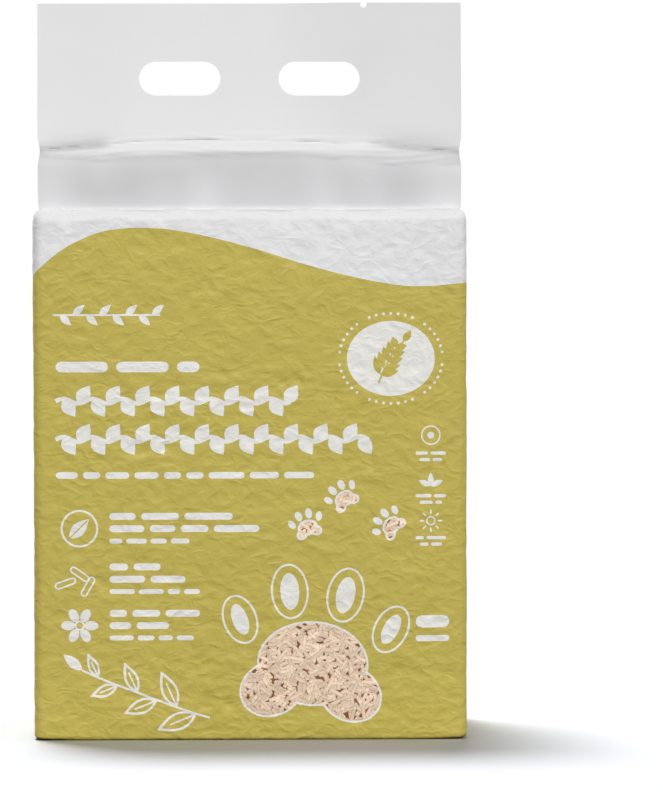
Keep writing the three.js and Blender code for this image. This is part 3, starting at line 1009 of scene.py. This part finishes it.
# %% [markdown]
# Down the left run three signs with rules beside them: a leaf in a ring, three pellets, and a flower. Down
# the right run three small signs with rules under them, and two short broad rules.
# %% Lay out the signs
def draw_feature_rows(sign=-83.1, text=-68.6):
    for z, widths in ((103.2, (60, 73, 39)), (78.6, (25, 37, 44)), (56.0, (44, 29, 41))):
        for k, (width, height) in enumerate(zip(widths, (3.4, 3.4, 2.4))):
            words(text, text + width, z + 6 - 6 * k, height)
    ring(sign, 103.2, 9.2, 9.2, 1.0)
    ink(leaf(-88, 98.4, 13.5, 6.4, 45))
    ink(stroke([(-88.5, 97.9), (-83, 103.4), (-79.2, 107.2)], 0.6), "ink_olive")
    for x, z, angle in ((-90, 76.5, 20), (-83, 81, -35), (-79, 75, 60)):
        ink(turned(bar(-5.5, 5.5, 0, 3.6), angle, x, z))
        ink(turned(bar(-4.7, 4.7, 0, 2.0), angle, x, z), "ink_olive")
    for turn in range(0, 360, 60):
        angle = math.radians(turn)
        ink(oval(sign + 5.6 * math.cos(angle), 56 + 5.6 * math.sin(angle), 3.5, 2.3, turn, 14))
    ring(sign, 56, 2.4, 2.4, 0.8)


def draw_right_column(x=87.8):
    for z in (147.8, 127.0, 106.6):
        words(x - 7.5, x + 7.5, z - 8.2, 1.6)
        words(x - 5.5, x + 5.5, z - 11.4, 1.6)
    ring(x, 148.3, 4.8, 4.8, 0.7)
    ink(oval(x, 148.3, 1.7, 1.7, corners=12))
    for angle in (25, 90, 155):
        ink(leaf(x, 123.6, 6.6, 2.9, angle))
    for turn in range(0, 360, 45):
        angle = math.radians(turn)
        ink(turned(bar(-1.1, 1.1, 0, 0.8), turn, x + 4.4 * math.cos(angle), 106.6 + 4.4 * math.sin(angle)))
    ring(x, 106.6, 2.3, 2.3, 0.7)
    ink(bar(x - 7.5, x + 9, 57.5, 6))
    ink(bar(x - 7.5, x + 9, 49.3, 3))


print("three signs on the left and three on the right")

# %% [markdown]
# The large picture fills the foot: a paw print whose pad shows the litter, small prints that walk away from
# it, and a twig with leaves drawn in outline. Then everything is drawn, in the order in which it is
# printed.
# %% Lay out the picture
def line_leaf(x, z, length, angle):
    """A leaf drawn in outline, with its rib."""
    width = 0.42 * length
    ink(leaf(x, z, length, width, angle))
    start, *_ = turned([(1.6, 0)], angle, x, z)
    ink(leaf(*start, length - 4, width - 2.2, angle), "ink_olive")
    ink(stroke(turned([(0, 0), (length / 3, 0), (2 * length / 3, 0)], angle, x, z), 0.8))


def draw_picture(x=30, z=34, size=80):
    """A large paw print, small ones that walk away from it, and a twig that bends round it."""
    share = np.linspace(0, 1, 40)
    twig = np.column_stack((-20 - 62 * share, 11 + 23 * share**2 + 5 * np.sin(3.1 * share)))
    ink(stroke(twig, 1.0))
    for k, place in enumerate((4, 10, 16, 22, 28, 34)):
        side = 1 if k % 2 else -1
        line_leaf(*twig[place], 21 - 1.6 * k, 158 - side * 44)
    ink(leaf(*twig[-1], 12, 5, 140))
    paw(x, z, size, -4, "ink_pellets")
    for step_x, step_z, angle in ((28, 103, 18), (46, 117, 34), (69, 104, 50)):
        paw(step_x, step_z, 15, angle, "ink_pellets")


for draw in (draw_heading, draw_badge, draw_feature_rows, draw_right_column, draw_picture):
    draw()
print(f"{len(drawn)} printed outlines")

# %% [markdown]
# ## The nets
#
# Each panel is cut into small triangles while it is still flat, and only then bent. Rows of points fill it,
# closer on the front and at the crease than on the back. A grid cut along the printed edges would be full
# of slivers. So those edges, the wave and the slots go in as lines that the triangles must keep, by a
# constrained Delaunay triangulation, and every triangle has one ink.
# %% Fill a panel with points
slot_length, slot_height, slot_pitch, slot_drop = 40.4, 17, 69.3, 37.6
notch_radius, notch_offset = 1.6, 56.8
net_scale = panel_x / header_half_width  # a width on the header's film against the same width in the world


def even(low, high, step):
    """Places from low to high, evenly spread and no further apart than step."""
    return np.linspace(low, high, max(1, math.ceil((high - low) / step)) + 1)


def wall_spacing(panel):
    """How far apart the points stand on the wall, in millimetres."""
    return 1.25 if panel == "front" else 2.1


def spacing(panel, up):
    """How far apart the points stand at a place up the film."""
    fine = wall_spacing(panel)
    if up < wall_film:
        return fine
    if up < wall_film + roof_run:
        return 2.4 if panel != "back" else 3
    z = ridge_height + up - wall_film - roof_run
    if z > crease_height + 12:
        return 3.2
    if z > crease_height - 9:
        return 0.95 if panel == "front" else 2.0
    return 1.7 if panel == "front" else 2.5


def fill_rows(panel, half, low, high):
    """Rows of points inside a panel, each shifted by half a step from the one below."""
    points, up, odd = [], low, False
    while True:
        step = spacing(panel, up + 0.01)
        up += step * math.sqrt(3) / 2
        if up > high - 0.6 * step:
            return np.array(points)
        count = round(2 * half / step)
        places = (np.arange(count) + 0.5) / count if odd else np.arange(1, count) / count
        odd = not odd
        points.extend((half * (2 * place - 1), up) for place in places)


def without_near(points, lines, clear):
    """The points that stand clear of all lines' points. A line comes with whether it is closed."""
    tree = kdtree.KDTree(len(points))
    for k, (x, y) in enumerate(points):
        tree.insert((x, y, 0), k)
    tree.balance()
    near = set()
    for line, _ in lines:
        for x, y in line:
            near.update(k for _, k, _ in tree.find_range((x, y, 0), clear))
    keep = np.ones(len(points), bool)
    keep[list(near)] = False
    return points[keep]


def finer(line, step, closed):
    """A line with points added so that none are further apart than step."""
    line = np.asarray(line, float)
    ends = np.roll(line, -1, axis=0) if closed else line[1:]
    made = []
    for start, end in zip(line, ends):
        count = max(1, math.ceil(np.linalg.norm(end - start) / step))
        made.extend(start + (end - start) * k / count for k in range(count))
    return np.array(made if closed else made + [line[-1]])


print("points", wall_spacing("front"), "mm apart on the front")

# %% [markdown]
# The header has two slots for fingers, with round ends, and a small nick in its top edge where the bag is
# torn open. A boolean could cut them later, but it would break up the even triangles round them, so their
# outlines are laid on the flat film too. The back's holes are mirrored, because it faces the other way, and
# so the two films' holes meet when the bag is closed.
# %% Cut the holes
def header_up(z):
    """How far up the film a height on the neck or the header lies."""
    return wall_film + roof_run + z - ridge_height


def slot_outline(x):
    radius = slot_height / 2
    turn = np.linspace(-math.pi / 2, math.pi / 2, 15)
    cap = np.column_stack((radius * np.cos(turn), radius * np.sin(turn)))
    straight = slot_length / 2 - radius
    outline = np.concatenate((cap + (straight, 0), -cap - (straight, 0)))
    return finer(outline, 2.5, True) * (net_scale, 1) + (x * net_scale, header_up(top_height - slot_drop))


def notch_outline(x):
    """The nick in the top edge, from right to left."""
    sink = 0.4 * notch_radius
    opening = math.asin(sink / notch_radius)
    turn = np.linspace(opening, -math.pi - opening, 11)
    arc = np.column_stack((notch_radius * np.cos(turn), notch_radius * np.sin(turn) - sink))
    arc[[0, -1], 1] = 0
    return arc + (x * net_scale, film_top)


def header_holes(panel):
    way = across_way[panel][0]
    slots = [slot_outline(-slot_pitch / 2), slot_outline(slot_pitch / 2)]
    notch = notch_outline(notch_offset)
    if way < 0:
        slots = [slot * (-1, 1) for slot in slots]
        notch = (notch * (-1, 1))[::-1]
    return slots, notch


print(f"two slots of {slot_length} x {slot_height} mm, {slot_pitch} mm apart")

# %% [markdown]
# Panels that meet must have the same points along their edge, or the bag would have gaps. So one function
# gives the heights along each vertical edge, with one where the wave crosses it, and both panels call it.
# In the same way the roof's flap has its points where the gusset's columns stand below it.
# %% Outline a panel
gusset_step = 2.2
gusset_side = even(film_half, flat_y, gusset_step)
gusset_corner = flat_y + even(0, quarter_corner, 1.4)[1:]
gusset_columns = np.concatenate((gusset_side, gusset_corner))  # from the gusset's middle out to its edge
gusset_columns = np.concatenate((-gusset_columns[::-1], gusset_columns))


def wall_edge_heights(corner):
    """Where points stand up the wall's film, along a vertical edge of the brick."""
    crossing = film_height(wave_height(np.array([corner]))[0])
    heights = even(0, wall_film, 1.5)
    heights = heights[np.abs(heights - crossing) > 0.6]
    return np.sort(np.append(heights, crossing))


def foot_places(panel):
    """Where points stand along a panel's foot. The base has its own in the same places."""
    half, step = (panel_x, 2.5) if panel in broad_panels else (panel_y, 2.2)
    return even(-half, half, step)


def flap_edge_heights():
    """Where the roof's flap has its points, matched to the gusset's columns below it."""
    columns = gusset_columns[gusset_columns > 0][::-1]
    reach = np.abs(wall_points("right", columns, np.full_like(columns, wall_film))[:, 1])
    share = (reach[0] - reach) / (reach[0] - film_half)
    return wall_film + share[1:] * roof_run


def panel_frame(panel):
    """The panel's outline as one line round, counterclockwise, and its lines inside."""
    broad = panel in broad_panels
    half = panel_x if broad else panel_y
    start = panel_start[panel]
    foot = foot_places(panel)
    rising = {side: wall_edge_heights(start + side * half) for side in (-1, 1)}
    if broad:
        slots, notch = header_holes(panel)
        head = header_up(crease_height)
        upper = np.concatenate((
            flap_edge_heights(),
            even(wall_film + roof_run, head - 8, 1.6)[1:],
            even(head - 8, head + 12, 1.0)[1:],
            even(head + 12, film_top, 2.6)[1:],
        ))
        rising = {side: np.concatenate((heights, upper)) for side, heights in rising.items()}
        right_of, left_of = notch[0, 0] + 1, notch[-1, 0] - 1
        across = even(-half, half, 2.6)[::-1]
        edge = np.column_stack((across, np.full_like(across, film_top)))
        top = np.concatenate((edge[across > right_of], notch, edge[across < left_of]))
    else:
        slots = []
        top = np.column_stack((gusset_columns, np.full_like(gusset_columns, wall_film)))[::-1]
    right = np.column_stack((np.full_like(rising[1], half), rising[1]))
    left = np.column_stack((np.full_like(rising[-1], -half), rising[-1]))[::-1]
    bottom = np.column_stack((foot, np.zeros_like(foot)))
    outline = np.concatenate((bottom[:-1], right[:-1], top[:-1], left[:-1]))
    return outline, slots, half


print(f"{len(gusset_columns)} columns across each gusset")

# %% [markdown]
# The triangulation takes all points and the lines that must stay, and fills the whole area, holes too. So
# the triangles outside the outline and inside a slot are thrown away. The rest take the ink of the last
# outline that holds their middle.
# %% Cut a panel into triangles
def inside_outline(points, outline):
    """Whether points lie inside a closed outline."""
    x, y = points.T
    within = np.zeros(len(points), bool)
    for (x0, y0), (x1, y1) in zip(outline, np.roll(outline, -1, axis=0)):
        if y0 != y1:
            crosses = (y0 > y) != (y1 > y)
            within ^= crosses & (x < (x1 - x0) * (y - y0) / (y1 - y0) + x0)
    return within


def inside_each(points, outline):
    """inside_outline, but only for points within the outline's box."""
    low, high = outline.min(0), outline.max(0)
    near = np.flatnonzero(((points >= low) & (points <= high)).all(1))
    found = np.zeros(len(points), bool)
    found[near] = inside_outline(points[near], outline)
    return found


def triangulate(points, lines):
    """Corners and triangles through the points that keep each line, which comes with whether it is closed."""
    corners, edges = [tuple(p) for p in points], []
    for line, closed in lines:
        first, count = len(corners), len(line)
        corners.extend(tuple(p) for p in line)
        edges.extend((first + k, first + (k + 1) % count) for k in range(count if closed else count - 1))
    # output type 0 fills all within the outermost points, and points within 1e-5 mm count as one
    flat, _, faces, _, _, _ = delaunay_2d_cdt([Vector(p) for p in corners], edges, [], 0, 1e-5)
    return np.array([tuple(p) for p in flat]), np.array(faces)


def cut_panel(panel):
    """The panel's flat points, its triangles and the ink of each triangle."""
    outline, slots, half = panel_frame(panel)
    start = panel_start[panel]
    clear = 0.45 * wall_spacing(panel)
    wave_across = even(-half, half, 1.4)
    wave = np.column_stack((wave_across, film_height(wave_height(start + wave_across))))
    prints = []
    if panel == "front":
        lift = film_height(0)
        prints = [(finer(shape + (0, lift), 1.3, True), name) for shape, name in drawn]
    seams = []
    if panel == "back":
        columns = [-seam_width - seam_edge, -seam_width, 0, seam_edge]
        climb = np.unique(np.concatenate((even(8, wall_film, 3), even(wall_film, film_top - 3, 3))))
        seams = [np.column_stack((np.full_like(climb, x), climb)) for x in columns]
    lines = [(wave, False), (outline, True), *((slot, True) for slot in slots)]
    lines += [(shape, True) for shape, _ in prints] + [(seam, False) for seam in seams]
    points = fill_rows(panel, half, 0, outline[:, 1].max())
    flat, faces = triangulate(without_near(points, lines, clear), lines)
    middles = flat[faces].mean(1)
    keep = inside_outline(middles, outline)
    for slot in slots:
        keep &= ~inside_each(middles, slot)
    faces, middles = faces[keep], middles[keep]

    colour = np.full(len(faces), ink_order.index("film_white"))
    colour[middles[:, 1] < film_height(wave_height(start + middles[:, 0]))] = ink_order.index("ink_olive")
    for shape, name in prints:
        colour[inside_each(middles, shape)] = ink_order.index(name)
    print(f"{panel}: {len(flat)} points, {len(faces)} triangles")
    return flat, faces, colour


nets = {panel: cut_panel(panel) for panel in across_way}

# %% [markdown]
# ## One bag
#
# Now the flat panels are bent into place. Each keeps its flat shape as its place on a texture sheet, on
# which the inks can be baked, and the small pieces get places beside them.
# %% Bend and join
sheet = {  # left, bottom, width and height of each piece's place on the texture sheet
    "front": (0, 0, 0.56, 1), "back": (0.57, 0, 0.21, 1),
    "right": (0.79, 0, 0.1, 0.8), "left": (0.9, 0, 0.1, 0.8),
    "base": (0.79, 0.81, 0.21, 0.09), "rim": (0.79, 0.96, 0.21, 0.04),
    "right tuck": (0.79, 0.91, 0.1, 0.04), "left tuck": (0.9, 0.91, 0.1, 0.04),
}


class FilmMesh:
    """Collects points, triangles, inks and places on the texture sheet, for one mesh."""

    def __init__(self):
        self.points, self.faces, self.inks, self.places = [], [], [], []
        self.count = 0

    def add(self, piece, points, faces, colour, flat):
        corner, size = np.split(np.array(sheet[piece]), 2)
        low, high = flat.min(0), flat.max(0)
        self.points.append(points)
        self.faces.append(np.asarray(faces) + self.count)
        self.inks.append(np.broadcast_to(colour, len(faces)))
        self.places.append(corner + (0.01 + 0.98 * (flat - low) / (high - low)) * size)
        self.count += len(points)


film = FilmMesh()
bent = {}
for panel, (flat, faces, colour) in nets.items():
    bent[panel] = panel_points(panel, flat[:, 0], flat[:, 1])
    film.add(panel, bent[panel], faces, colour, flat)
print(f"{film.count} points in four panels")

# %% [markdown]
# Where a gusset goes in under the roof, the film folds into a pocket. It could be folded whole, but only a
# dark slit of it is ever seen. So it is a strip of rows from the gusset's top edge to the edge of the
# roof's flap, and the rows between them are pushed in, deepest half way.
# %% Tuck in the gussets
pocket_depth = 14
pocket_rows = 8


def tuck_gusset(panel, first, second):
    """The pocket between the gusset's top edge and the ends of the two panels beside it."""
    sill = wall_points(panel, gusset_columns, np.full_like(gusset_columns, wall_film))
    heights = np.concatenate(([wall_film], flap_edge_heights()))
    edge = np.full_like(heights, panel_x)
    lip = np.concatenate((panel_points(first, edge, heights), panel_points(second, -edge, heights)[::-1]))
    openness = np.clip((lip[:, 2] - sill[:, 2]) / roof_rise, 0, 1)
    closed = np.linalg.norm(lip - sill, axis=1) < 0.1  # too close for a strip between them
    way = np.array((outward[panel][0], 0, 0))
    rows = []
    for share in np.linspace(0, 1, pocket_rows + 1):
        row = sill + (lip - sill) * (share if share in (0, 1) else soft_step(share, 0.25, 0.75))
        row = row - way * (pocket_depth * openness * math.sin(math.pi * share))[:, None]
        rows.append(np.where((closed & (share > 0))[:, None], lip, row))
    count = len(sill)
    k, row = (grid.ravel() for grid in np.meshgrid(np.arange(count - 1), np.arange(pocket_rows)))
    corner = row * count + k
    faces = np.concatenate((
        np.column_stack((corner, corner + 1, corner + count + 1)),
        np.column_stack((corner, corner + count + 1, corner + count)),
    ))
    row_numbers = np.arange(pocket_rows + 1)
    flat = np.column_stack((np.tile(np.arange(count), len(row_numbers)), np.repeat(row_numbers, count)))
    film.add(panel + " tuck", np.concatenate(rows), faces, ink_order.index("film_white"), flat)


tuck_gusset("right", "front", "back")
tuck_gusset("left", "back", "front")
print("tucked in both gussets")

# %% [markdown]
# Front and back film are a little apart even where they are pressed together. Thin strips close the edge
# between them, round the header, the slots and the nick. They run between the edges that only one triangle
# uses and their partners on the back, which lie at the mirrored place on the flat film.
# %% Close the header's edges
def free_edges(panel):
    """The edges of a panel that only one triangle uses, above the ridge."""
    flat, faces, _ = nets[panel]
    pairs = np.concatenate((faces[:, [0, 1]], faces[:, [1, 2]], faces[:, [2, 0]]))
    order = np.sort(pairs, axis=1)
    _, first, counts = np.unique(order, axis=0, return_index=True, return_counts=True)
    rim = pairs[first[counts == 1]]
    height = flat[rim, 1].min(1)
    return rim[height > wall_film + roof_run - 1e-6]


def close_edges():
    front, back = nets["front"][0], nets["back"][0]
    partner = {(round(-x, 3), round(up, 3)): k for k, (x, up) in enumerate(back)}
    points, faces, flat = [], [], []
    for k, pair in enumerate(free_edges("front")):
        far = [partner[(round(x, 3), round(up, 3))] for x, up in front[pair]]
        points.extend((*bent["front"][pair], *bent["back"][far]))
        faces += [(4 * k + 1, 4 * k, 4 * k + 2), (4 * k + 1, 4 * k + 2, 4 * k + 3)]
        flat.extend((k % 30 + 0.8 * (i % 2), k // 30 + 0.8 * (i // 2)) for i in range(4))
    film.add("rim", np.array(points), faces, ink_order.index("film_white"), np.array(flat))
    return len(faces)


print(f"{close_edges()} triangles close the header's edges")

# %% [markdown]
# The base is folded flat like a parcel, with a seam across it. It is triangulated inside the walls' foot in
# the same way as the panels. The seam rests on the floor, with a dent on either side, and the corners are
# lifted.
# %% Fold the base
base_step = 3.2
seam_reach = 70  # how far the base's seam runs from the middle before it fades


def base_outline():
    """The walls' foot as one line round."""
    rows = []
    for panel in across_way:
        foot = foot_places(panel)
        rows.append(wall_points(panel, foot, np.zeros_like(foot))[:-1])
    return np.concatenate(rows)


def fold_base():
    """The base inside the walls' foot, with the folded seam across it."""
    edge = base_outline()[:, :2]
    along = even(-seam_reach - 10, seam_reach + 10, 3)
    seam_edges = (-seam_edge, 0, seam_width, seam_width + seam_edge)
    seams = [(np.column_stack((along, np.full_like(along, y))), False) for y in seam_edges]
    lines = [(edge, True), *seams]
    columns = np.arange(-half_width, half_width, base_step)
    x, y = np.meshgrid(columns, np.arange(-half_depth, half_depth, base_step))
    grid = np.column_stack((x.ravel(), y.ravel()))
    grid = grid[inside_outline(grid, edge)]
    flat, faces = triangulate(without_near(grid, lines, 0.6 * base_step), lines)
    faces = faces[inside_outline(flat[faces].mean(1), edge)][:, ::-1]
    beside = np.abs(flat[:, 1] - seam_width / 2) - seam_width / 2
    strip = soft_step(seam_edge - beside, 0, seam_edge)
    dent = seam_dent * np.clip(1 - np.abs(beside - 0.8) / seam_dent_width, 0, 1)
    within = 1 - soft_step(np.abs(flat[:, 0]), seam_reach, seam_reach + 15)
    z = lift_at(flat[:, 0]) + within * np.where(strip > 0.5, 0, dent)
    film.add("base", np.column_stack((flat, z)), faces, ink_order.index("ink_olive"), flat)
    return len(faces)


print(f"{fold_base()} triangles in the base")

# %% [markdown]
# ## Painted light and shade on the film
#
# Light and shade are painted into the film's colour. Painted shade greys the empty neck, the ledge, the
# hollow above the ledge's ends, the header towards its right, and the shoulder and roof. Painted light
# brightens the foot of the wall. A colour over the whole material can't say that, so each point of the
# mesh gets a tone, which the inks multiply. It gets a second value too, which says how much of the film
# lies pressed on litter and crinkles.
# %% Paint light and shade on the film
# painted shade, as shares taken off the film's lightness
neck_painted_shade, ledge_painted_shade, hollow_painted_shade, header_painted_shade, roof_painted_shade = 0.17, 0.09, 0.3, 0.075, 0.055
# painted light, as a share added to the film's lightness at the foot
foot_painted_light = 0.1
shade_patch_waves = (83, 49, 27), (5.2, 1, 3)


def painted_light_and_shade(x, z):
    """The painted light and shade that the inks multiply, and how much of the film lies pressed on litter."""
    crest, fold = through(x, crest_stops), through(x, fold_stops)
    empty = soft_step(z, ridge_height, ridge_height + 1.5)
    past_crest, past_fold = soft_step(z, crest - 1.5, crest + 0.3), soft_step(z, fold - 0.5, fold + 0.5)
    # the neck's painted shade comes in patches: deeper near its ends, weaker at the very ends and under the
    # crest
    patches = 1 + 0.3 * ripple(x, *shade_patch_waves) * bump(z - brick_height - 14, 12)
    patches += (0.6 * bump(x + 76, 18) + 0.5 * bump(x - 80, 20)) * bump(z - brick_height - 10, 8)
    patches -= 0.4 * bump(z - crest + 2.5, 3)
    patches -= 0.7 * bump(x + 105, 16) + 1.2 * bump(x - 106, 16)
    # painted shade on the empty neck
    neck = neck_painted_shade * patches * empty * (1 - past_crest)
    # painted shade on the ledge between crest and fold
    ledge = ledge_painted_shade * past_crest * (1 - past_fold)
    # painted shade in the hollow above both ends of the ledge
    ends = 1 - soft_step(x, -75, -66) + soft_step(x, 56, 74)
    hollow = hollow_painted_shade * ends * bump(z - fold + 0.3, np.where(z > fold, 3.2, 1.7))
    # painted shade on the header, growing towards its right
    header = header_painted_shade * soft_step(z, fold, fold + 8) * soft_step(x, -40, 90)
    # painted shade on the shoulder and the roof
    roof = roof_painted_shade * soft_step(z, brick_height - 7, brick_height - 2) * (1 - empty)
    # painted light on the lowest part of the wall
    foot = foot_painted_light * (1 - soft_step(z, 0, 60))
    return 1 - neck - ledge - hollow - header - roof + foot, 1 - 0.9 * empty


print("tone of the neck's middle:", round(float(painted_light_and_shade(np.array([0.0]), np.array([275.0]))[0][0]), 2))

# %% [markdown]
# All pieces become one mesh, and points that lie in the same place are welded into one. The film has few
# sharp edges, such as the fold of the crease and the cut edge of the header. Edges that bend by more than
# the sharp angle stay sharp, and the rest are shaded smooth.
# %% Weld the bag
weld_distance = 0.004
sharp_angle = math.radians(55)


def weld_bag():
    mesh = bpy.data.meshes.new("bag_film")
    points, faces = np.concatenate(film.points) * MM, np.concatenate(film.faces)
    mesh.from_pydata(points.tolist(), [], faces.tolist())
    for material in inks.values():
        mesh.materials.append(material)
    mesh.polygons.foreach_set("material_index", np.concatenate(film.inks).astype(np.int32))
    texture_places = np.concatenate(film.places)[faces.ravel()]
    mesh.uv_layers.new(name="OFBake").uv.foreach_set("vector", texture_places.ravel())
    shape = bmesh.new()
    shape.from_mesh(mesh)
    bmesh.ops.remove_doubles(shape, verts=shape.verts, dist=weld_distance * MM)
    bmesh.ops.dissolve_degenerate(shape, edges=shape.edges, dist=0.001 * MM)
    print(sum(len(edge.link_faces) != 2 for edge in shape.edges), "open edges")
    bmesh.ops.recalc_face_normals(shape, faces=shape.faces)
    for edge in shape.edges:
        edge.smooth = edge.calc_face_angle(0) < sharp_angle
    shape.to_mesh(mesh)
    shape.free()
    mesh.shade_smooth()
    places = np.empty(3 * len(mesh.vertices))
    mesh.vertices.foreach_get("co", places)
    x, _, z = (places.reshape(-1, 3) / MM).T
    # tone holds the painted light and shade, and pressed says how much the film crinkles
    for name, value in zip(("tone", "pressed"), painted_light_and_shade(x, z)):
        mesh.attributes.new(name, "FLOAT", "POINT").data.foreach_set("value", value.astype(np.float32))
    bag = bpy.data.objects.new("bag_film", mesh)
    bag_parts.objects.link(bag)
    print(f"bag of {len(mesh.polygons)} triangles")
    return bag


bag = weld_bag()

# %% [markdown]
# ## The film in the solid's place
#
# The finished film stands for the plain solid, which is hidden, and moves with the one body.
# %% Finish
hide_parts("litter_bag")
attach(bag, "root")
